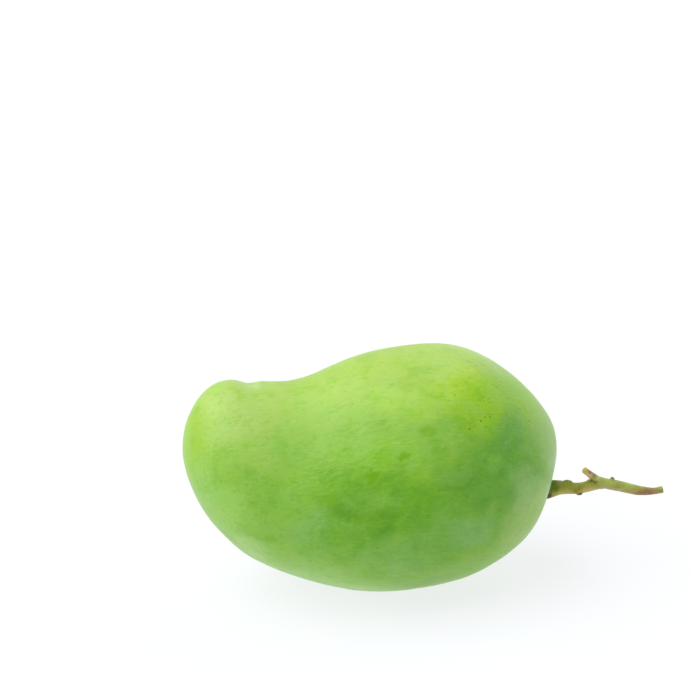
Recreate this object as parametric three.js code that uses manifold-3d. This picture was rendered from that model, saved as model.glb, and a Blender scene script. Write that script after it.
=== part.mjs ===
// A green mango with its stalk, lying on its side at its real size, in millimetres.
// +X runs from the blunt tip to the stalk, +Y to the far cheek and +Z up. The origin is
// the middle of the small flat spot that the fruit rests on.
import * as THREE from 'three';
import { mergeVertices } from 'three/addons/utils/BufferGeometryUtils.js';
import Module from 'manifold-3d';

const wasm = await Module();
wasm.setup();

// ---- Fruit: driving dimensions ----
const HALF_LENGTH = 64.25;
// At each station along the length, from -1 at the tip to 1 at the stem end: the rise of
// the middle line, and the half height and half thickness that the round ends scale down.
const STATIONS = [
  { at: -1.0, rise: 10.5, height: 43.5, thickness: 33.0 },
  { at: -0.85, rise: 7.5, height: 44.0, thickness: 33.0 },
  { at: -0.6, rise: 1.0, height: 39.0, thickness: 32.0 },
  { at: -0.35, rise: -2.5, height: 37.0, thickness: 32.5 },
  { at: -0.1, rise: -1.5, height: 40.0, thickness: 34.5 },
  { at: 0.2, rise: 0.0, height: 42.5, thickness: 36.5 },
  { at: 0.5, rise: 1.0, height: 45.5, thickness: 38.0 },
  { at: 0.72, rise: 0.5, height: 46.0, thickness: 38.0 },
  { at: 0.9, rise: 1.5, height: 45.5, thickness: 37.0 },
  { at: 1.0, rise: 5.5, height: 42.5, thickness: 36.0 },
];
const CHEEK_FLATNESS = 0.08; // how much flatter the two cheeks are than an ellipse
const BACK_NARROWING = 0.08; // how much thinner the hollow upper edge is than the lower one
const LEAN_BACK = THREE.MathUtils.degToRad(12);
const FRUIT_CENTRE = new THREE.Vector3(-6.3, 0.4, 41.7);

// Local forms: each moves the skin by `move` at `centre` and fades out over `spread`.
// They lie in the fruit's own frame, before it leans back.
const LOCAL_FORMS = {
  beakGroove: { centre: [-40.6, 0, 35.3], spread: [2.4, 5.5, 6], move: [0, 0, -1.5] },
  beakShelf: { centre: [-33, 0, 33.5], spread: [4.5, 9, 8], move: [0, 0, 0.45] },
  beakScar: { centre: [-37.4, -1.4, 34.6], spread: [1.1, 1.3, 4], move: [0, 0, 0.35] },
  stemHollow: { centre: [61.6, 0, -9.5], spread: [5, 5, 5], move: [-1.5, 0, 0.3] },
  shoulder: { centre: [50.5, 0, 28.5], spread: [7, 16, 7], move: [0.3, 0, 0.3] },
};

// Low swells over the whole skin, as a few waves in evenly spread directions.
const SWELL = { count: 9, height: 0.55, longest: 46, shortest: 17 };
const GOLDEN_ANGLE = Math.PI * (3 - Math.sqrt(5)); // spreads the waves' directions
const GOLDEN_SHARE = 0.618; // spreads their wavelengths

const SKIN_DETAIL = 15; // each edge of an icosahedron is cut into this many pieces, plus one
// Vertices are drawn towards these directions of the unit ball, where the forms are small.
const CROWDED = [
  { toward: [-0.62, -0.02, 0.785], pull: 0.62, reach: 0.3 },
  { toward: [0.965, 0, -0.26], pull: 0.45, reach: 0.3 },
];

// ---- Stalk: driving dimensions ----
// All of its points are measured from the root, where the stalk meets the skin.
const STALK_ROOT = new THREE.Vector3(54, -1.8, 30.8);
// Each stem is a curve through its points, as thick as the radii that follow it.
const PEDICEL = {
  points: [[-4, 0.1, 0.1], [1, 0, -0.2], [5.5, 0, 0], [10.5, -0.2, -0.4], [15, -0.1, -0.1],
    [19, 0, 0.8], [21.7, 0.1, 1]],
  radii: [3.7, 3.3, 2.45, 1.95, 1.9, 2.05, 1.6],
  steps: 26,
};
// The twig starts at a cut stub, passes the pedicel's end and runs on to its other cut end.
const TWIG = {
  points: [[13.9, -0.8, 6.9], [16.9, -0.4, 4.2], [20.2, 0, 1.7], [24.2, 0.2, 0], [29, 0.5, -1.5],
    [33, 1, -3], [36.8, 1.5, -4], [40.3, 1.8, -4.4], [43.4, 1.8, -4]],
  radii: [0.98, 1.2, 1.75, 1.9, 1.85, 1.75, 1.5, 1.18, 1.25],
  steps: 36,
};
const STEM_SIDES = 14;
const STEM_RIDGES = { count: 5, depth: 0.035, twist: 1.7 };

// Scars and buds where flower stems fell off: small lumps half sunk in the stems.
const LUMPS = [
  { at: [8.1, -0.1, 1.9], size: [1.6, 1.25, 1.15] },
  { at: [12.6, -0.5, -2], size: [1.3, 1.15, 0.95] },
  { at: [16.6, 1.3, 1.2], size: [1, 0.9, 0.8] },
  { at: [20.6, 0, -0.2], size: [1.7, 1.6, 1.3] },
  { at: [24.4, 0.2, 1.85], size: [0.85, 0.8, 1.05] },
  { at: [32.4, 2.1, -2], size: [1, 0.8, 0.7] },
];
const LUMP_DETAIL = 2;

const FIT_GAP = 0.3; // clearance between the stalk's foot and the fruit

// The block under the resting plane, which cuts the flat spot.
const BELOW = { depth: 20, width: 300 };

const SAME_POINT = 1e-4; // vertices closer than this are one

const SKIN = new THREE.MeshStandardMaterial({ color: 0x86bd4a, roughness: 0.48, metalness: 0 });
const BARK = new THREE.MeshStandardMaterial({ color: 0x93983f, roughness: 0.7, metalness: 0 });

// ---- Curves ----

/** A natural cubic spline through (knots[i], values[i]), as a function of one number. */
function naturalSpline(knots, values) {
  const last = knots.length - 1;
  const gaps = knots.slice(1).map((knot, i) => knot - knots[i]);
  const rises = gaps.map((gap, i) => (values[i + 1] - values[i]) / gap);
  const scale = new Array(last + 1).fill(0);
  const bend = new Array(last + 1).fill(0);
  for (let i = 1; i < last; i += 1) {
    const pivot = 2 * (gaps[i - 1] + gaps[i]) - gaps[i - 1] * scale[i - 1];
    scale[i] = gaps[i] / pivot;
    bend[i] = (6 * (rises[i] - rises[i - 1]) - gaps[i - 1] * bend[i - 1]) / pivot;
  }
  for (let i = last - 1; i > 0; i -= 1) bend[i] -= scale[i] * bend[i + 1];
  return (x) => {
    let i = 0;
    while (i < last - 1 && x > knots[i + 1]) i += 1;
    const b = (x - knots[i]) / gaps[i];
    const a = 1 - b;
    const curve = ((a ** 3 - a) * bend[i] + (b ** 3 - b) * bend[i + 1]) * gaps[i] ** 2 / 6;
    return a * values[i] + b * values[i + 1] + curve;
  };
}

const stationPlaces = STATIONS.map((station) => station.at);
const riseAt = naturalSpline(stationPlaces, STATIONS.map((station) => station.rise));
const heightAt = naturalSpline(stationPlaces, STATIONS.map((station) => station.height));
const thicknessAt = naturalSpline(stationPlaces, STATIONS.map((station) => station.thickness));

// ---- Solids ----

/** A copy of the geometry that holds positions alone, its shared vertices merged. */
function bareShape(geometry) {
  const bare = geometry.clone();
  bare.deleteAttribute('normal');
  bare.deleteAttribute('uv');
  return mergeVertices(bare, SAME_POINT);
}

/** The closed geometry as a manifold-3d solid. */
function toSolid(geometry) {
  const merged = bareShape(geometry);
  return new wasm.Manifold(new wasm.Mesh({
    numProp: 3,
    vertProperties: new Float32Array(merged.attributes.position.array),
    triVerts: new Uint32Array(merged.index.array),
  }));
}

/** A manifold-3d solid as a three.js geometry. */
function toGeometry(solid) {
  const mesh = solid.getMesh();
  const geometry = new THREE.BufferGeometry();
  geometry.setAttribute('position', new THREE.BufferAttribute(mesh.vertProperties, 3));
  geometry.setIndex(new THREE.BufferAttribute(mesh.triVerts, 1));
  geometry.computeVertexNormals();
  return geometry;
}

/** The geometry with each vertex put through `move`, which changes a Vector3 in place. */
function reshape(geometry, move) {
  const position = geometry.attributes.position;
  const point = new THREE.Vector3();
  for (let i = 0; i < position.count; i += 1) {
    point.fromBufferAttribute(position, i);
    move(point);
    position.setXYZ(i, point.x, point.y, point.z);
  }
  return geometry;
}

// ---- Fruit ----

/** Draws a point of the unit ball towards the places that need a finer mesh. */
function crowd(point) {
  for (const { toward, pull, reach } of CROWDED) {
    const centre = new THREE.Vector3(...toward).normalize();
    const near = Math.exp(-((point.distanceTo(centre) / reach) ** 2));
    point.lerp(centre, pull * near).normalize();
  }
}

/** Turns a point of the unit ball into the plain fruit form, in the fruit's own frame. */
function swellBall(point) {
  const { x: along, y: across, z: up } = point;
  const cheek = (across * (1 - CHEEK_FLATNESS * across ** 2)) / (1 - CHEEK_FLATNESS);
  point.set(
    HALF_LENGTH * along,
    thicknessAt(along) * cheek * (1 - BACK_NARROWING * up),
    riseAt(along) + heightAt(along) * up,
  );
}

/** Adds the groove, shelf and scar of the beak, the stalk's hollow and the full shoulder. */
function addLocalForms(point) {
  const start = point.clone();
  for (const { centre, spread, move } of Object.values(LOCAL_FORMS)) {
    const x = (start.x - centre[0]) / spread[0];
    const y = (start.y - centre[1]) / spread[1];
    const z = (start.z - centre[2]) / spread[2];
    const share = Math.exp(-0.5 * (x * x + y * y + z * z));
    point.addScaledVector(new THREE.Vector3(...move), share);
  }
}

/** The height of the low swells at a point of the fruit. */
function swellAt(point) {
  let sum = 0;
  for (let i = 0; i < SWELL.count; i += 1) {
    const share = (i + 0.5) / SWELL.count;
    const z = 1 - 2 * share;
    const ring = Math.sqrt(1 - z * z);
    const turn = GOLDEN_ANGLE * i;
    const direction = new THREE.Vector3(ring * Math.cos(turn), ring * Math.sin(turn), z);
    const wavelength = THREE.MathUtils.lerp(SWELL.longest, SWELL.shortest, (i * GOLDEN_SHARE) % 1);
    sum += Math.sin((2 * Math.PI * direction.dot(point)) / wavelength + turn);
  }
  return (sum / SWELL.count) * SWELL.height;
}

/** Moves each vertex of the geometry out along its normal. */
function inflate(geometry, distanceAt) {
  geometry.computeVertexNormals();
  const normal = geometry.attributes.normal.clone();
  const outward = new THREE.Vector3();
  let index = 0;
  return reshape(geometry, (point) => {
    outward.fromBufferAttribute(normal, index);
    index += 1;
    point.addScaledVector(outward, distanceAt(point));
  });
}

/** The whole fruit before its flat spot is cut, larger than life by `clearance`. */
function fruitGeometry(clearance) {
  const skin = bareShape(new THREE.IcosahedronGeometry(1, SKIN_DETAIL));
  reshape(skin, (point) => {
    crowd(point);
    swellBall(point);
    addLocalForms(point);
  });
  inflate(skin, (point) => swellAt(point) + clearance);
  skin.rotateX(-LEAN_BACK);
  skin.translate(...FRUIT_CENTRE);
  return skin;
}

/** The block under the resting plane. */
function blockBelow() {
  const block = new THREE.BoxGeometry(BELOW.width, BELOW.width, BELOW.depth);
  block.translate(0, 0, -BELOW.depth / 2);
  return toSolid(block);
}

function makeFruit() {
  const solid = toSolid(fruitGeometry(0)).subtract(blockBelow());
  const mesh = new THREE.Mesh(toGeometry(solid), SKIN);
  mesh.name = 'fruit';
  return mesh;
}

// ---- Stalk ----

/** A closed stem: a cylinder bent along a curve, with a radius that changes along it. */
function bentStem({ points, radii, steps }) {
  const curve = new THREE.CatmullRomCurve3(points.map((point) => new THREE.Vector3(...point)));
  const frames = curve.computeFrenetFrames(steps, false);
  const places = radii.map((_, i) => i / (radii.length - 1));
  const radiusAt = naturalSpline(places, radii);
  const stem = new THREE.CylinderGeometry(1, 1, 1, STEM_SIDES, steps);
  return reshape(stem, (point) => {
    const share = point.y + 0.5;
    const frame = Math.round(share * steps);
    const turn = Math.atan2(point.z, point.x);
    const ridge = Math.cos(STEM_RIDGES.count * turn + STEM_RIDGES.twist * share * Math.PI);
    const radius = radiusAt(curve.getUtoTmapping(share)) * (1 + STEM_RIDGES.depth * ridge);
    const { x: across, z: around } = point;
    point.copy(curve.getPointAt(share));
    point.addScaledVector(frames.normals[frame], across * radius);
    point.addScaledVector(frames.binormals[frame], -around * radius);
  });
}

/** A rounded lump on a stem. */
function lump({ at, size }) {
  return new THREE.IcosahedronGeometry(1, LUMP_DETAIL).scale(...size).translate(...at);
}

function makeStalk() {
  const grown = [bentStem(PEDICEL), bentStem(TWIG), ...LUMPS.map(lump)];
  const whole = grown
    .map((piece) => toSolid(piece.translate(...STALK_ROOT)))
    .reduce((sum, piece) => sum.add(piece));
  const solid = whole.subtract(toSolid(fruitGeometry(FIT_GAP)));
  const mesh = new THREE.Mesh(toGeometry(solid), BARK);
  mesh.name = 'stalk';
  return mesh;
}

const group = new THREE.Group();
group.add(makeFruit(), makeStalk());

export default group;
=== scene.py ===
import math

import bpy
import numpy as np
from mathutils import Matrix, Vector


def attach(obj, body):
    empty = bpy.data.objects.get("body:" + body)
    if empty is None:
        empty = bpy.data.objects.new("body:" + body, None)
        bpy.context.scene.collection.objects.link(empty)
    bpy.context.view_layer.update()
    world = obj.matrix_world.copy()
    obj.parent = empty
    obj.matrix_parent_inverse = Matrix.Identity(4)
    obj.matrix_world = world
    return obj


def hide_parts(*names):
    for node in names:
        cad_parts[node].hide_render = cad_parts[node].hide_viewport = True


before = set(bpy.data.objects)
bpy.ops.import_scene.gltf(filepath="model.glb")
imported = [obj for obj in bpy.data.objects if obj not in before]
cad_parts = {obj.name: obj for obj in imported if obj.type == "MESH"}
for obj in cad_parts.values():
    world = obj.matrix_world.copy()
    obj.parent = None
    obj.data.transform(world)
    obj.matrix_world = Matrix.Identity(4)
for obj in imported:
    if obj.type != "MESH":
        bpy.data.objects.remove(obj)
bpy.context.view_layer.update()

METRES = 0.001  # one millimetre in metres

# ---- Camera ----
AIM_AT = Vector((-15.1, 2.6, 86.9))
CAMERA_AZIMUTH = math.radians(-8)
CAMERA_HEIGHT = math.radians(22)
CAMERA_DISTANCE = 640
LENS = 100  # on a sensor 36 mm wide

# ---- Fruit form, as in its solid but for the beak lip and the ripples ----
HALF_LENGTH = 64.25
# Each station has a place from -1 to 1 along the length and, in millimetres, the rise of
# the middle line, the half height and the half thickness.
STATIONS = np.array([
    (-1.0, 10.5, 43.5, 33.0),
    (-0.85, 7.5, 44.0, 33.0),
    (-0.6, 1.0, 39.0, 32.0),
    (-0.35, -2.5, 37.0, 32.5),
    (-0.1, -1.5, 40.0, 34.5),
    (0.2, 0.0, 42.5, 36.5),
    (0.5, 1.0, 45.5, 38.0),
    (0.72, 0.5, 46.0, 38.0),
    (0.9, 1.5, 45.5, 37.0),
    (1.0, 5.5, 42.5, 36.0),
])
CHEEK_FLATNESS = 0.08
BACK_NARROWING = 0.08  # thins the upper edge and thickens the lower by this share
LEAN_BACK = math.radians(12)
FRUIT_CENTRE = np.array((-6.3, 0.4, 41.7))
# Each local form has a centre, a spread and a move.
LOCAL_FORMS = {
    "beak groove": ((-40.6, 0, 35.3), (2.4, 5.5, 6), (0, 0, -1.5)),
    "beak shelf": ((-33, 0, 33.5), (4.5, 9, 8), (0, 0, 0.45)),
    "beak scar": ((-37.4, -1.4, 34.6), (1.1, 1.3, 4), (0, 0, 0.35)),
    "beak lip": ((-37, 0.5, 34.6), (1.7, 5, 6), (0, 0, 0.36)),
    "stem hollow": ((61.6, 0, -9.5), (5, 5, 5), (-1.5, 0, 0.3)),
    "shoulder": ((50.5, 0, 28.5), (7, 16, 7), (0.3, 0, 0.3)),
}
GOLDEN_ANGLE = math.pi * (3 - math.sqrt(5))
GOLDEN_SHARE = 0.618
# Each kind of wave has a count, and its longest and shortest wavelength in millimetres.
SWELLS = {"count": 9, "longest": 46, "shortest": 17}
SWELL_HEIGHT = 0.55
RIPPLES = {"count": 13, "longest": 12, "shortest": 5}
RIPPLE_HEIGHT = 0.09
SKIN_CELLS = 125  # along each edge of the cube that the skin's grid comes from
# Grid points are drawn towards these directions: direction, pull and reach.
CROWDED = [
    ((-0.62, -0.02, 0.785), 0.5, 0.3),
    ((0.965, 0, -0.26), 0.3, 0.3),
]

# ---- Stalk form, close to its solid, measured from its root ----
STALK_ROOT = np.array((54, -1.8, 30.8))
PEDICEL_POINTS = [(-4, 0.1, 0.1), (1, 0, -0.2), (5.5, 0, 0.2), (10.5, -0.2, -0.3),
                  (15, -0.1, -0.1), (19, 0, 0.8), (21.7, 0.1, 1)]
PEDICEL_RADII = [3.7, 3.3, 2.55, 2, 1.9, 2.05, 1.6]
TWIG_POINTS = [(13.9, -0.8, 6.8), (16.9, -0.4, 4.1), (20.2, 0, 1.45), (24.2, 0.2, 0),
               (29, 0.5, -1.5), (33, 1, -3), (36.8, 1.5, -4), (40.3, 1.8, -4.4), (43.4, 1.8, -4)]
TWIG_RADII = [1.1, 1.25, 1.7, 1.9, 1.85, 1.75, 1.5, 1.18, 1.25]
# Scars and buds: centre and half sizes.
LUMPS = [
    ((8.2, -0.1, 1.4), (2.3, 1.4, 1.55)),
    ((12.6, -0.5, -2), (1.3, 1.15, 0.95)),
    ((16.6, 1.3, 1.2), (1, 0.9, 0.8)),
    ((20.4, 0, 0), (2.2, 1.5, 1.3)),
    ((24.4, 0.2, 1.85), (0.85, 0.8, 1.05)),
    ((32.4, 2.1, -2), (1, 0.8, 0.7)),
]
STEM_SIDES = 40
STEM_STEPS = 160
LUMP_CELLS = 12
STALK_VOXEL = 0.13  # cell size of the closed mesh
STALK_SMOOTHING = 6  # rounds that soften the joins
WRINKLES = {"count": 17, "longest": 2.4, "shortest": 0.9}
WRINKLE_HEIGHT = 0.09
WRINKLE_STRETCH = np.array((0.5, 1, 1))  # wrinkles run along the stalk


# ---- Curves and grids ----

def natural_spline(knots, values):
    """A natural cubic spline through values at knots, as a function of an array."""
    knots, values = np.asarray(knots, float), np.asarray(values, float)
    gaps = np.diff(knots)
    size = len(knots)
    matrix, target = np.eye(size), np.zeros(size)
    for i in range(1, size - 1):
        matrix[i, i - 1:i + 2] = gaps[i - 1], 2 * (gaps[i - 1] + gaps[i]), gaps[i]
        target[i] = 6 * (np.diff(values[i:i + 2])[0] / gaps[i]
                         - np.diff(values[i - 1:i + 1])[0] / gaps[i - 1])
    bend = np.linalg.solve(matrix, target)

    def at(x):
        i = np.clip(np.searchsorted(knots, x) - 1, 0, size - 2)
        b = (x - knots[i]) / gaps[i]
        a = 1 - b
        curve = ((a ** 3 - a) * bend[i] + (b ** 3 - b) * bend[i + 1]) * gaps[i] ** 2 / 6
        return a * values[i] + b * values[i + 1] + curve
    return at


rise_at, height_at, thickness_at = (
    natural_spline(STATIONS[:, 0], STATIONS[:, column]) for column in (1, 2, 3))


def ball_grid(cells):
    """A unit ball of six square grids: its points and its four-sided faces."""
    count = cells + 1
    u, v = np.meshgrid(np.arange(count), np.arange(count), indexing="ij")
    index = np.arange(count * count).reshape(count, count)
    quads = np.stack([index[:-1, :-1], index[1:, :-1], index[1:, 1:], index[:-1, 1:]], -1)
    quads = quads.reshape(-1, 4)
    corners, faces = [], []
    for axis in range(3):
        for side in (0, cells):
            corner = np.empty((count * count, 3), int)
            corner[:, axis] = side
            corner[:, (axis + 1) % 3] = u.ravel()
            corner[:, (axis + 2) % 3] = v.ravel()
            faces.append((quads if side else quads[:, ::-1]) + len(corners) * count * count)
            corners.append(corner)
    points, place = np.unique(np.concatenate(corners), axis=0, return_inverse=True)
    points = np.tan((points / cells * 2 - 1) * math.pi / 4)
    return unit(points), place.ravel()[np.concatenate(faces)]


def unit(vectors):
    """The same directions at length 1."""
    return vectors / np.linalg.norm(vectors, axis=-1, keepdims=True)


def vertex_normals(points, quads):
    """The outward direction at each point of a mesh of four-sided faces."""
    a, b, c, d = (points[quads[:, i]] for i in range(4))
    across = np.cross(c - a, d - b)
    normals = np.zeros_like(points)
    for i in range(4):
        np.add.at(normals, quads[:, i], across)
    return unit(normals)


def wave_sum(points, count, longest, shortest):
    """A smooth uneven field between about -1 and 1, from waves in evenly spread directions."""
    total = np.zeros(len(points))
    for i in range(count):
        z = 1 - 2 * (i + 0.5) / count
        ring = math.sqrt(1 - z * z)
        turn = GOLDEN_ANGLE * i
        direction = np.array((ring * math.cos(turn), ring * math.sin(turn), z))
        wavelength = longest + (shortest - longest) * (i * GOLDEN_SHARE % 1)
        total += np.sin(2 * math.pi * (points @ direction) / wavelength + turn)
    return total / count


def make_piece(name, points, faces):
    """A smooth mesh object from points in millimetres."""
    mesh = bpy.data.meshes.new(name)
    mesh.from_pydata((points * METRES).tolist(), [], faces.tolist())
    mesh.shade_smooth()
    piece = bpy.data.objects.new(name, mesh)
    bpy.context.collection.objects.link(piece)
    return piece


# ---- Fruit ----

def crowd(points):
    """Draws points of the unit ball towards the small forms."""
    for direction, pull, reach in CROWDED:
        centre = unit(np.array(direction))
        apart = np.linalg.norm(points - centre, axis=1, keepdims=True)
        points = unit(points + (centre - points) * pull * np.exp(-(apart / reach) ** 2))
    return points


def swell_ball(points):
    """Turns points of the unit ball into the plain fruit form."""
    along, across, up = points.T
    cheek = across * (1 - CHEEK_FLATNESS * across ** 2) / (1 - CHEEK_FLATNESS)
    return np.stack([
        HALF_LENGTH * along,
        thickness_at(along) * cheek * (1 - BACK_NARROWING * up),
        rise_at(along) + height_at(along) * up,
    ], axis=1)


def add_local_forms(points):
    """Adds the groove, shelf, scar and lip of the beak, the stem hollow and the shoulder."""
    formed = points.copy()
    for centre, spread, move in LOCAL_FORMS.values():
        apart = (points - centre) / spread
        formed += np.exp(-0.5 * (apart ** 2).sum(axis=1))[:, None] * np.array(move)
    return formed


def lean_and_place(points):
    """Leans the fruit back and puts its flat spot on the resting plane."""
    x, y, z = points.T
    cos, sin = math.cos(LEAN_BACK), math.sin(LEAN_BACK)
    placed = np.stack([x, y * cos + z * sin, z * cos - y * sin], axis=1) + FRUIT_CENTRE
    placed[:, 2] = np.maximum(placed[:, 2], 0)
    return placed


def make_fruit():
    """The whole skin of the fruit."""
    ball, quads = ball_grid(SKIN_CELLS)
    points = add_local_forms(swell_ball(crowd(ball)))
    height = wave_sum(points, **SWELLS) * SWELL_HEIGHT
    height += wave_sum(points, **RIPPLES) * RIPPLE_HEIGHT
    points += vertex_normals(points, quads) * height[:, None]
    return make_piece("fruit_skin", lean_and_place(points), quads)


# ---- Stalk ----

def stem(points, radii):
    """A closed tube along a curve, with a radius that changes along it."""
    places = np.arange(len(points))
    share = np.linspace(0, len(points) - 1, STEM_STEPS)
    centre = np.stack(
        [natural_spline(places, column)(share) for column in np.transpose(points)], axis=1)
    radius = natural_spline(places, radii)(share)
    forward = unit(np.gradient(centre, axis=0))
    up = unit(np.array((0, 0, 1)) - forward * forward[:, 2:])
    side = np.cross(forward, up)
    turns = (np.arange(STEM_SIDES) * 2 * math.pi / STEM_SIDES)[None, :, None]
    ring = np.cos(turns) * side[:, None] + np.sin(turns) * up[:, None]
    skin = (centre[:, None] + ring * radius[:, None, None]).reshape(-1, 3)
    near = np.arange(STEM_SIDES)
    far = (near + 1) % STEM_SIDES
    rows = np.arange(STEM_STEPS - 1)[:, None] * STEM_SIDES
    quads = np.stack([rows + near, rows + STEM_SIDES + near,
                      rows + STEM_SIDES + far, rows + far], -1)
    faces = quads.reshape(-1, 4).tolist()
    last = (STEM_STEPS - 1) * STEM_SIDES
    faces.append(list(near))
    faces.append(list(last + near[::-1]))
    return skin, faces


def lump(centre, size):
    """A rounded lump: the points and faces of a stretched ball."""
    ball, quads = ball_grid(LUMP_CELLS)
    return ball * size + centre, quads.tolist()


def fuse(name, parts):
    """One closed mesh round all the parts, with softened joins."""
    points, faces, start = [], [], 0
    for part_points, part_faces in parts:
        points.append(part_points)
        faces += [[start + corner for corner in face] for face in part_faces]
        start += len(part_points)
    mesh = bpy.data.meshes.new(name)
    mesh.from_pydata((np.concatenate(points) + STALK_ROOT).tolist(), [], faces)
    rough = bpy.data.objects.new(name, mesh)
    bpy.context.collection.objects.link(rough)
    remesh = rough.modifiers.new("fuse", "REMESH")
    remesh.mode = "VOXEL"
    remesh.voxel_size = STALK_VOXEL
    smooth = rough.modifiers.new("soften", "SMOOTH")
    smooth.iterations = STALK_SMOOTHING
    ready = rough.evaluated_get(bpy.context.evaluated_depsgraph_get()).to_mesh()
    points = np.array([vertex.co for vertex in ready.vertices])
    faces = np.array([list(polygon.vertices) for polygon in ready.polygons])
    bpy.data.objects.remove(rough)
    return points, faces


def make_stalk():
    """The stalk and its twig, with their scars and buds, as one piece."""
    parts = [stem(PEDICEL_POINTS, PEDICEL_RADII), stem(TWIG_POINTS, TWIG_RADII)]
    parts += [lump(centre, size) for centre, size in LUMPS]
    points, quads = fuse("stalk_fused", parts)
    height = wave_sum(points * WRINKLE_STRETCH, **WRINKLES) * WRINKLE_HEIGHT
    points += vertex_normals(points, quads) * height[:, None]
    return make_piece("stalk_bark", points, quads)


# ---- Finishes ----

# Places and sizes on the pieces are in millimetres.
DRIFT_DETAIL = 2.0
PATCH_CORE = 0.3  # the share of a patch's half sizes that it covers fully
DOT_CORE = 0.5  # the same share of a dot's radius
# The sockets of a Mix node that hold its two colours and its colour output.
MIX_UNDER, MIX_OVER, MIX_COLOUR = 6, 7, 2


def srgb(red, green, blue):
    """A display colour from 0 to 255 as the linear colour that shaders take."""
    def linear(level):
        level /= 255
        return level / 12.92 if level <= 0.04045 else ((level + 0.055) / 1.055) ** 2.4
    return (linear(red), linear(green), linear(blue), 1)


class Flow:
    """A shader socket. Arithmetic on it adds Math nodes."""

    def __init__(self, finish, socket):
        self.finish = finish
        self.socket = socket

    def math(self, operation, first, second):
        return self.finish.add("Math", {"operation": operation}, {0: first, 1: second})

    def __add__(self, other):
        return self.math("ADD", self, other)

    def __sub__(self, other):
        return self.math("SUBTRACT", self, other)

    def __rsub__(self, other):
        return self.math("SUBTRACT", other, self)

    def __mul__(self, other):
        return self.math("MULTIPLY", self, other)

    __radd__ = __add__
    __rmul__ = __mul__


class Finish:
    """A material made of nodes."""

    def __init__(self, name):
        self.material = bpy.data.materials.new(name)
        self.material.use_nodes = True
        self.tree = self.material.node_tree
        self.tree.nodes.clear()

    def add(self, kind, settings=None, sockets=None, output=0):
        """Adds a node, sets it, fills or links its sockets and gives one of its outputs."""
        node = self.tree.nodes.new("ShaderNode" + kind)
        for setting, value in (settings or {}).items():
            setattr(node, setting, value)
        for socket, value in (sockets or {}).items():
            if isinstance(value, Flow):
                self.tree.links.new(value.socket, node.inputs[socket])
            else:
                node.inputs[socket].default_value = value
        return Flow(self, node.outputs[output]) if node.outputs else None

    def place(self):
        """The position on the piece in millimetres."""
        metres = self.add("TexCoord", output="Object")
        return self.add("VectorMath", {"operation": "SCALE"}, {0: metres, "Scale": 1 / METRES})

    def noise(self, place, size, detail, stretch=(1, 1, 1)):
        """Soft noise from 0 to 1 with features of about the given size in millimetres."""
        scaled = self.add("VectorMath", {"operation": "MULTIPLY"}, {0: place, 1: stretch})
        return self.add("TexNoise", None, {"Vector": scaled, "Scale": 1 / size, "Detail": detail})

    def ramp(self, value, start, end):
        """0 where the value is at start and 1 where it is at end, with soft shoulders."""
        return self.add("MapRange", {"interpolation_type": "SMOOTHSTEP"},
                        {"Value": value, "From Min": start, "From Max": end})

    def layer(self, place, size, detail, start, end, stretch=(1, 1, 1)):
        """Soft noise that is 0 up to the level start and 1 from the level end."""
        return self.ramp(self.noise(place, size, detail, stretch), start, end)

    def spot(self, place, centre, radius):
        """1 at the centre, falling to 0 at the radius."""
        apart = self.add("VectorMath", {"operation": "DISTANCE"}, {0: place, 1: centre},
                         output="Value")
        return self.ramp(apart, radius, 0)

    def wander(self, place, size, reach):
        """The place, shifted by up to about half the reach in a soft uneven way."""
        drift = self.add("TexNoise", None,
                         {"Vector": place, "Scale": 1 / size, "Detail": DRIFT_DETAIL},
                         output="Color")
        return self.add("VectorMath", {"operation": "MULTIPLY_ADD"},
                        {0: drift, 1: (reach,) * 3, 2: self.moved(place, (-reach / 2,) * 3)})

    def moved(self, place, move):
        """The place, shifted by a fixed move."""
        return self.add("VectorMath", {"operation": "ADD"}, {0: place, 1: move})

    def patch(self, place, centre, half_sizes):
        """A soft egg-shaped patch: 1 in its middle and 0 at its edge."""
        away = self.moved(place, tuple(-c for c in centre))
        shrunk = self.add("VectorMath", {"operation": "DIVIDE"}, {0: away, 1: half_sizes})
        apart = self.add("VectorMath", {"operation": "LENGTH"}, {0: shrunk}, output="Value")
        return self.ramp(apart, 1, PATCH_CORE)

    def dots(self, place, gap, radius):
        """Small scattered dots, 1 inside and 0 outside."""
        apart = self.add("TexVoronoi", {"feature": "F1"}, {"Vector": place, "Scale": 1 / gap},
                         output="Distance")
        return self.ramp(apart, radius / gap, DOT_CORE * radius / gap)

    def mix(self, share, under, over):
        """The colour under, covered by the colour over by the share."""
        return self.add("Mix", {"data_type": "RGBA"},
                        {0: share, MIX_UNDER: under, MIX_OVER: over}, output=MIX_COLOUR)

    def tint(self, share, colour, by):
        """The colour, multiplied by another by the share."""
        return self.add("Mix", {"data_type": "RGBA", "blend_type": "MULTIPLY"},
                        {0: share, MIX_UNDER: colour, MIX_OVER: (*by, 1)},
                        output=MIX_COLOUR)

    def relief(self, height):
        """Surface relief from a height in millimetres."""
        return self.add("Bump", None, {"Height": height, "Distance": METRES})

    def surface(self, constants, flows):
        """The one shader of the material. Varying sockets are flows, the others constants."""
        shader = self.add("BsdfPrincipled", None, {**constants, **flows})
        self.add("OutputMaterial", None, {"Surface": shader})
        return self.material


# Skin colours as the eye sees them, from 0 to 255.
SKIN_GREEN = (132, 181, 62)
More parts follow.
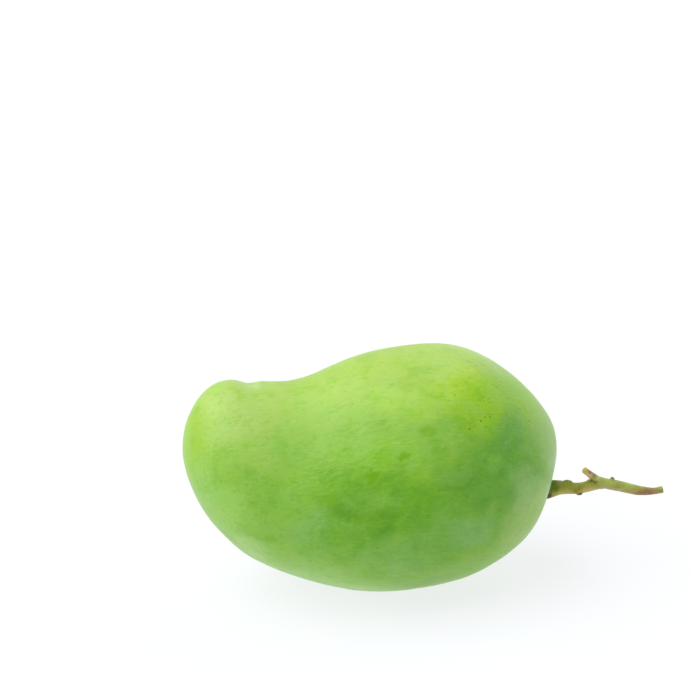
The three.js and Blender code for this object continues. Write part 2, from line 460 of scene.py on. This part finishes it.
# Each patch has a centre, its half sizes, a colour and how fully it covers.
SKIN_PATCHES_AND_PAINTED_LIGHT = {
    # The pale crown and pale beak are partly the skin's own colour and partly painted light
    # falling from above and the left.
    "pale crown, partly painted top light": ((-8, 8, 88), (84, 50, 40), (158, 189, 81), 1.0),
    "pale beak, partly painted top light": ((-56, 0, 72), (30, 30, 30), (161, 191, 92), 1.0),
    # The pale chin paints bounce light from the floor on the low left edge.
    "pale chin, painted bounce light": ((-58, -18, 36), (13, 12, 13), (160, 204, 104), 0.45),
    # The deep cheek and deep shoulder are partly the skin's own deep green and partly painted
    # shade on the low and right side.
    "deep cheek, partly painted shade": ((-2, -40, 40), (62, 24, 32), (104, 166, 28), 1.0),
    "deep shoulder, partly painted shade": ((34, -28, 52), (21, 20, 27), (100, 163, 46), 1.0),
    "far cheek": ((4, 40, 42), (56, 26, 36), (114, 170, 46), 0.9),
    # The pale stalk end is partly a real waxy bloom and partly painted sheen along the rim.
    "pale stalk end and painted rim sheen": ((70, 2, 40), (36, 54, 52), (158, 197, 122), 1.0),
    # The pale belly paints bounce light from the floor on the underside and low left edge.
    "pale belly, painted bounce light": ((-34, -16, -2), (58, 40, 36), (164, 206, 116), 1.0),
    "pale low end": ((51, -22, 29), (24, 20, 20), (159, 192, 99), 1.0),
    "yellow blush": ((20, -13, 77), (14, 13, 11), (170, 200, 52), 0.85),
    "green blush": ((28, -17, 72), (16, 15, 13), (142, 191, 20), 0.9),
    # The yellow tip paints green bounce light on the left end.
    "yellow tip, painted green bounce light": ((-70, -4, 60), (10, 15, 20), (140, 181, 44), 0.9),
    "pale throat": ((-47, -19, 58), (12, 12, 9), (152, 194, 82), 0.55),
    "shoulder bloom": ((38, -20, 62), (13, 11, 11), (104, 163, 68), 0.75),
    # The stalk end bloom is partly a real waxy bloom and partly painted sheen along the rim.
    "stalk end bloom and painted rim sheen": ((55, -16, 45), (9, 14, 16), (168, 203, 146), 0.7),
    "cheek bloom": ((2, -36, 29), (16, 8, 9), (122, 175, 82), 0.5),
    "pale cheek": ((-5, -29, 60), (22, 10, 11), (138, 192, 52), 0.7),
    "green brow": ((47, -6, 68), (18, 17, 15), (140, 187, 40), 0.9),
    "low bloom": ((23, -34, 34), (15, 10, 9), (132, 182, 102), 0.65),
    "low throat": ((-42, -26, 46), (17, 10, 8), (116, 175, 46), 0.55),
    "end haze": ((42, -26, 41), (12, 9, 11), (162, 198, 130), 0.45),
    "deep brow": ((18, -32, 54), (17, 9, 8), (90, 152, 30), 0.65),
    "deep low cheek": ((-14, -35, 41), (11, 8, 10), (84, 146, 2), 0.7),
    "pale low cheek": ((-4, -35, 23), (17, 9, 7), (140, 186, 98), 0.5),
    "pale brow": ((4, -19, 74), (23, 9, 9), (170, 211, 84), 0.4),
    "throat bloom": ((-29, -31, 36), (11, 9, 10), (128, 180, 100), 0.4),
    "pale tip": ((-65, -13, 47), (7, 9, 9), (170, 210, 118), 0.24),
    "crown bloom": ((16, -10, 81), (11, 8, 6), (168, 202, 116), 0.4),
    # The pale low tip paints bounce light on the lower left rim.
    "pale low tip, painted bounce light": ((-50, -20, 26), (11, 8, 8), (194, 222, 152), 0.32),
    # The low edge patch paints shade along the bottom rim near the floor.
    "low edge, painted shade": ((9, -28, 11), (25, 8, 7), (112, 158, 70), 0.4),
    "far shoulder bloom": ((40, 24, 42), (17, 12, 19), (112, 168, 92), 0.7),
    "far low bloom": ((-24, 33, 24), (34, 13, 13), (130, 180, 104), 0.6),
    "far blush": ((17, 26, 68), (17, 12, 11), (152, 194, 36), 0.8),
    "far deep cheek, partly painted shade": ((-6, 38, 46), (24, 11, 11), (94, 154, 40), 0.6),
    "far throat": ((-46, 22, 48), (12, 12, 12), (152, 194, 84), 0.5),
}
BLOTCH_GREEN = (107, 167, 0)
# Each blotch has a centre, its half sizes and how fully it covers.
BLOTCHES = [
    ((-11.1, -31.4, 54.2), (4.8, 4.5, 3), 1.0), ((-0.4, -29.9, 60.5), (2.6, 3, 2.3), 0.8),
    ((8.1, -26.3, 66.8), (5.2, 4.5, 2.6), 0.6), ((-25.6, -30.8, 47), (3.6, 4, 2.6), 0.6),
    ((-3, 35.1, 50), (4.6, 4, 3), 0.9), ((8, 34.3, 56), (2.8, 3, 2.4), 0.8),
    ((-22, 31.9, 46), (3.6, 4, 2.4), 0.7),
]
SPECK_GREEN = (26, 80, 0)
# Each speck has a centre and a radius.
SPECKS = [
    ((24.4, -11.3, 78.4), 0.32), ((27.3, -14.2, 75.5), 0.35), ((27, -17.6, 73), 0.4),
    ((28.2, -17.5, 72.6), 0.28), ((30.4, -16, 72.7), 0.32), ((28, -23.4, 66), 0.33),
    ((29.8, -20.8, 68.1), 0.48), ((28, -21.4, 68.5), 0.43), ((26.4, -22.7, 67.7), 0.5),
    ((24.1, -24.1, 66.7), 0.3), ((22.3, -25, 66.2), 0.5), ((18.5, -17.8, 75.4), 0.38),
    ((23.8, -15.3, 76.1), 0.3), ((18.6, -20.6, 73.1), 0.38), ((44.6, -14.4, 62.9), 0.48),
    ((20.6, -23.3, 69.1), 0.3), ((22, 27.3, 70), 0.42), ((18, 29.2, 68), 0.38),
    ((25, 29, 66), 0.5), ((20, 31.8, 62), 0.45), ((27, 30.6, 61), 0.4),
    ((-8, 30.9, 62), 0.4), ((30, 32.7, 48), 0.45), ((-12, 34.1, 34), 0.4),
]
SCAR_GREEN = (168, 196, 134)
SCAR_SHARE = 0.7
BEAK_SCAR = ((-45.2, 3.7, 73.1), 4.2)

# How far patches, marks and layers wander, and the size of the waves they wander in.
BROAD_DRIFT = {"size": 18, "reach": 18}
EDGE_DRIFT = {"size": 5, "reach": 5}
MARK_DRIFT = {"size": 1.3, "reach": 4}
MOTTLE_DRIFT = {"size": 3, "reach": 3}
WRINKLE_DRIFT = {"size": 5, "reach": 3}

# Layers of noise over the whole skin. Shifts keep them from lying on each other.
MOTTLE = {"size": 7, "detail": 3, "start": 0.5, "end": 0.68}
MOTTLE_SHARE = 0.6
MOTTLE_TINT = (0.74, 0.9, 0.45)
CLOUDS = {"size": 8, "detail": 4, "start": 0.44, "end": 0.66}
CLOUD_SHIFT = (90, 0, 0)
CLOUD_SHARE = 0.26
CLOUD_GREEN = (144, 193, 98)
WARMTH = {"size": 6, "detail": 3, "start": 0.48, "end": 0.68}
WARMTH_SHIFT = (0, 0, 70)
WARMTH_SHARE = 0.2
WARM_GREEN = (138, 190, 20)
FLECKS = {"size": 1.6, "detail": 3, "start": 0.54, "end": 0.7, "stretch": (0.6, 1, 1)}
FLECK_SHARE = 0.6
FLECK_TINT = (0.79, 0.88, 0.54)
STREAKS = {"size": 0.75, "detail": 3, "stretch": (0.2, 1, 1)}  # they run along the fruit
DARK_STREAKS = {"start": 0.5, "end": 0.75}
DARK_STREAK_SHARE = 0.5
DARK_STREAK_TINT = (0.84, 0.93, 0.75)
PALE_STREAKS = {"start": 0.45, "end": 0.25}
PALE_STREAK_SHARE = 0.12
LENTICELS = {"gap": 2.2, "radius": 0.26}
LENTICEL_SHARE = 0.25
LENTICEL_GREEN = (186, 216, 104)
PITS = {"gap": 2.8, "radius": 0.3}
PIT_SHIFT = (5, 40, 0)
PIT_SHARE = 0.7
PIT_TINT = (0.6, 0.72, 0.4)

# Relief of the skin in millimetres. The wrinkles are higher on one part of the near cheek.
SKIN_WRINKLES = {"size": 1.3, "detail": 3, "stretch": (0.5, 1, 1)}
SKIN_WRINKLE_HEIGHT = 0.14
WRINKLED_CHEEK = ((-8, -38, 42), (64, 30, 34))
CHEEK_WRINKLE_HEIGHT = 0.3
STREAK_HEIGHT = 0.06
LENTICEL_HEIGHT = 0.02
PIT_DEPTH = 0.04

SKIN_ROUGHNESS = 0.44
MOTTLE_DULLNESS = -0.05
CLOUD_DULLNESS = 0.08
SKIN_WAX = {
    "IOR": 1.42, "Specular IOR Level": 0.4,
    "Subsurface Weight": 0.1, "Subsurface Radius": (0.5, 1.0, 0.2), "Subsurface Scale": 0.0015,
    "Sheen Weight": 0.2, "Sheen Roughness": 0.4, "Sheen Tint": (0.85, 1.0, 0.85, 1),
}


def skin_finish():
    """Waxy green skin with soft patches, some of them painted light and shade, small marks and
    fine wrinkles.
    """
    skin = Finish("green_skin")
    place = skin.place()
    edge = skin.wander(skin.wander(place, **BROAD_DRIFT), **EDGE_DRIFT)
    colour = srgb(*SKIN_GREEN)
    # Some of these patches paint light from above, bounce light, rim sheen and shade low down
    # over the skin's own colours.
    for centre, half_sizes, green, cover in SKIN_PATCHES_AND_PAINTED_LIGHT.values():
        colour = skin.mix(skin.patch(edge, centre, half_sizes) * cover, colour, srgb(*green))

    mottle = skin.layer(skin.wander(place, **MOTTLE_DRIFT), **MOTTLE)
    colour = skin.tint(mottle * MOTTLE_SHARE, colour, MOTTLE_TINT)
    clouds = skin.layer(skin.moved(place, CLOUD_SHIFT), **CLOUDS)
    colour = skin.mix(clouds * CLOUD_SHARE, colour, srgb(*CLOUD_GREEN))
    warmth = skin.layer(skin.moved(edge, WARMTH_SHIFT), **WARMTH)
    colour = skin.mix(warmth * WARMTH_SHARE, colour, srgb(*WARM_GREEN))
    flecks = skin.layer(place, **FLECKS)
    colour = skin.tint(flecks * FLECK_SHARE, colour, FLECK_TINT)
    streaks = skin.noise(place, **STREAKS)
    dark_streaks = skin.ramp(streaks, **DARK_STREAKS)
    colour = skin.tint(dark_streaks * DARK_STREAK_SHARE, colour, DARK_STREAK_TINT)
    pale_streaks = skin.ramp(streaks, **PALE_STREAKS)
    colour = skin.mix(pale_streaks * PALE_STREAK_SHARE, colour, srgb(*LENTICEL_GREEN))

    mark = skin.wander(place, **MARK_DRIFT)
    for centre, half_sizes, cover in BLOTCHES:
        blotch = skin.patch(mark, centre, half_sizes)
        colour = skin.mix(blotch * cover, colour, srgb(*BLOTCH_GREEN))
    lenticels = skin.dots(place, **LENTICELS)
    colour = skin.mix(lenticels * LENTICEL_SHARE, colour, srgb(*LENTICEL_GREEN))
    pits = skin.dots(skin.moved(place, PIT_SHIFT), **PITS)
    colour = skin.tint(pits * PIT_SHARE, colour, PIT_TINT)
    for centre, radius in SPECKS:
        colour = skin.mix(skin.spot(place, centre, radius), colour, srgb(*SPECK_GREEN))
    colour = skin.mix(skin.spot(mark, *BEAK_SCAR) * SCAR_SHARE, colour, srgb(*SCAR_GREEN))

    wrinkles = skin.noise(skin.wander(place, **WRINKLE_DRIFT), **SKIN_WRINKLES)
    wrinkled = skin.patch(edge, *WRINKLED_CHEEK) * CHEEK_WRINKLE_HEIGHT + SKIN_WRINKLE_HEIGHT
    height = (wrinkles * wrinkled + streaks * STREAK_HEIGHT
              + lenticels * LENTICEL_HEIGHT - pits * PIT_DEPTH)
    return skin.surface(SKIN_WAX, {
        "Base Color": colour,
        "Roughness": mottle * MOTTLE_DULLNESS + clouds * CLOUD_DULLNESS + SKIN_ROUGHNESS,
        "Normal": skin.relief(height),
    })


BARK_OLIVE = (150, 153, 66)
# Each patch of bark has a centre from the stalk's root, its half sizes, a colour and how fully
# it covers.
BARK_PATCHES = {
    "green neck": ((2.6, -2, 2), (3.8, 7, 4), (99, 122, 0), 1.0),
    "green knob": ((8, -1, 2.8), (5, 7, 2.6), (141, 152, 38), 1.0),
    "yellow belly": ((7, -2, -1.2), (6, 7, 2.2), (182, 170, 72), 1.0),
    "green waist": ((12, -1.5, -0.6), (3.2, 7, 3), (136, 134, 20), 1.0),
    "rosy underside": ((16.6, -1.5, -1.2), (6, 7, 2.6), (198, 172, 100), 1.0),
    "brown foot": ((1, -2.5, -1.2), (1.6, 7, 3), (92, 62, 34), 1.0),
    "rosy stub": ((15.4, -1, 5.4), (3.2, 7, 2.6), (208, 174, 122), 1.0),
    "mauve stub": ((18.2, -0.4, 5), (2.1, 7, 1.2), (146, 118, 86), 1.0),
    "mauve edge": ((16.3, -0.4, 6.4), (2, 7, 1.3), (146, 114, 82), 1.0),
    "yellow stub end": ((13.8, -0.8, 7.1), (1.5, 7, 1.5), (188, 176, 92), 1.0),
    "green stub foot": ((19, -1.2, 3.4), (2.2, 7, 1.4), (178, 182, 96), 1.0),
    "green node": ((22.6, -1, 1.6), (5, 7, 2.8), (160, 172, 84), 1.0),
    "grey knot": ((21, -1.8, -0.2), (2.4, 7, 1.7), (172, 164, 116), 1.0),
    "grey underside": ((24, -1, -1.6), (8, 7, 1.8), (180, 170, 120), 0.9),
    "green twig": ((31, -1, -0.4), (5, 7, 2), (160, 178, 82), 0.9),
    "tawny underside": ((31, -0.5, -3), (6, 7, 1.9), (172, 156, 86), 0.9),
    "brown stretch": ((37.4, -0.5, -4.2), (7.6, 7, 2.8), (146, 114, 74), 1.0),
    "green end": ((43.8, 0, -3), (3, 7, 3), (132, 146, 68), 1.0),
}
# Each dark scar has a centre, a radius and a colour.
BARK_SCARS = [
    ((13, -1.2, -2.3), 1.7, (70, 54, 46)), ((24.5, 0.2, 3), 1.5, (60, 62, 36)),
    ((16.7, -0.6, 2.9), 1.5, (92, 98, 22)), ((18, -1.2, 2.1), 1.2, (86, 92, 20)),
    ((8.1, -0.4, 3.2), 1, (100, 108, 52)),
    ((33.4, -1, 0.3), 0.7, (104, 112, 50)), ((40.6, -0.6, -3), 0.7, (98, 92, 52)),
]


BARK_DRIFT = {"size": 2, "reach": 1.6}
SCAR_DRIFT = {"size": 0.8, "reach": 0.9}
GRAIN = {"size": 0.45, "detail": 3, "stretch": (0.25, 1, 1)}  # it runs along the stalk
DARK_GRAIN = {"start": 0.5, "end": 0.75}
GRAIN_SHARE = 0.5
GRAIN_TINT = (0.72, 0.74, 0.55)
BARK_MOTTLE = {"size": 1.2, "detail": 3}
PALE_MOTTLE = {"start": 0.5, "end": 0.75}
BARK_MOTTLE_SHARE = 0.25
BARK_MOTTLE_TAN = (200, 194, 120)
BARK_LENTICELS = {"gap": 1, "radius": 0.16}
BARK_LENTICEL_SHARE = 0.5
BARK_LENTICEL_TAN = (210, 202, 150)

# Relief of the bark in millimetres.
GRAIN_HEIGHT = 0.1
BARK_MOTTLE_HEIGHT = 0.06
BARK_LENTICEL_HEIGHT = 0.04

BARK_ROUGHNESS = 0.5
GRAIN_DULLNESS = 0.2
BARK_GLOSS = {"IOR": 1.45, "Specular IOR Level": 0.4}


def bark_finish():
    """Dull green and brown bark with grain, scars and small lenticels."""
    bark = Finish("green_bark")
    place = bark.moved(bark.place(), tuple(-STALK_ROOT))
    edge = bark.wander(place, **BARK_DRIFT)
    colour = srgb(*BARK_OLIVE)
    for centre, half_sizes, tone, cover in BARK_PATCHES.values():
        colour = bark.mix(bark.patch(edge, centre, half_sizes) * cover, colour, srgb(*tone))
    grain = bark.noise(place, **GRAIN)
    colour = bark.tint(bark.ramp(grain, **DARK_GRAIN) * GRAIN_SHARE, colour, GRAIN_TINT)
    mottle = bark.noise(place, **BARK_MOTTLE)
    pale_mottle = bark.ramp(mottle, **PALE_MOTTLE)
    colour = bark.mix(pale_mottle * BARK_MOTTLE_SHARE, colour, srgb(*BARK_MOTTLE_TAN))
    mark = bark.wander(place, **SCAR_DRIFT)
    for centre, radius, tone in BARK_SCARS:
        colour = bark.mix(bark.spot(mark, centre, radius), colour, srgb(*tone))
    lenticels = bark.dots(place, **BARK_LENTICELS)
    colour = bark.mix(lenticels * BARK_LENTICEL_SHARE, colour, srgb(*BARK_LENTICEL_TAN))
    height = (grain * GRAIN_HEIGHT + mottle * BARK_MOTTLE_HEIGHT
              + lenticels * BARK_LENTICEL_HEIGHT)
    return bark.surface(BARK_GLOSS, {
        "Base Color": colour,
        "Roughness": grain * GRAIN_DULLNESS + BARK_ROUGHNESS,
        "Normal": bark.relief(height),
    })


FLOOR_GREY = 0.175
FLOOR_COOLNESS = (1, 1.03, 1.08)
FLOOR_GLOW = 0.79  # keeps the shadows on the white floor faint
FLOOR_GLOW_WHITE = (0.975, 0.985, 1, 1)


def floor_finish():
    """Plain white that glows a little."""
    paper = Finish("white_floor")
    return paper.surface({
        "Base Color": (*(FLOOR_GREY * share for share in FLOOR_COOLNESS), 1),
        "Roughness": 1.0, "Specular IOR Level": 0.0,
        "Emission Color": FLOOR_GLOW_WHITE, "Emission Strength": FLOOR_GLOW,
    }, {})


# ---- Stage ----

FLOOR_WIDTH = 8000
FLOOR_DROP = 0.2  # keeps the floor just clear of the flat spot


def make_camera():
    """The camera, turned to the point it aims at."""
    lens = bpy.data.cameras.new("camera")
    lens.lens = LENS
    camera = bpy.data.objects.new("camera", lens)
    bpy.context.collection.objects.link(camera)
    back = Vector((
        math.sin(CAMERA_AZIMUTH) * math.cos(CAMERA_HEIGHT),
        -math.cos(CAMERA_AZIMUTH) * math.cos(CAMERA_HEIGHT),
        math.sin(CAMERA_HEIGHT),
    ))
    camera.location = (AIM_AT + back * CAMERA_DISTANCE) * METRES
    camera.rotation_euler = (-back).to_track_quat("-Z", "Y").to_euler()
    bpy.context.scene.camera = camera


def make_floor():
    """A plain white floor."""
    half = FLOOR_WIDTH / 2
    corners = np.array([(-half, -half), (half, -half), (half, half), (-half, half)])
    points = np.column_stack([corners, np.full(4, -FLOOR_DROP)])
    floor = make_piece("floor", points, np.array([[0, 1, 2, 3]]))
    floor.data.materials.append(floor_finish())


# Each light has the direction it comes from and its strength.
LIGHTS = {"window": ((-0.6, 0, 0.8), 3.27), "back_rim": ((0.7, 0.6, 0.4), 1.06)}
LIGHT_WIDTH = math.radians(70)
ROOM_LIGHT = 0.45
WHITE = (1, 1, 1, 1)


def make_light():
    """Soft light from the sides and all round."""
    world = bpy.data.worlds.new("pale_room")
    world.use_nodes = True
    room = world.node_tree.nodes["Background"]
    room.inputs["Color"].default_value = WHITE
    room.inputs["Strength"].default_value = ROOM_LIGHT
    bpy.context.scene.world = world
    for name, (source, strength) in LIGHTS.items():
        lamp = bpy.data.lights.new(name, "SUN")
        lamp.energy = strength
        lamp.angle = LIGHT_WIDTH
        light = bpy.data.objects.new(name, lamp)
        light.rotation_euler = Vector(source).to_track_quat("Z", "Y").to_euler()
        bpy.context.collection.objects.link(light)
    bpy.context.scene.view_settings.view_transform = "Standard"


def dress(piece, node, material):
    """Puts the piece, in its material, in place of its solid."""
    piece.data.materials.append(material)
    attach(piece, "root")
    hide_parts(node)


make_camera()
dress(make_fruit(), "fruit", skin_finish())
dress(make_stalk(), "stalk", bark_finish())
make_floor()
make_light()
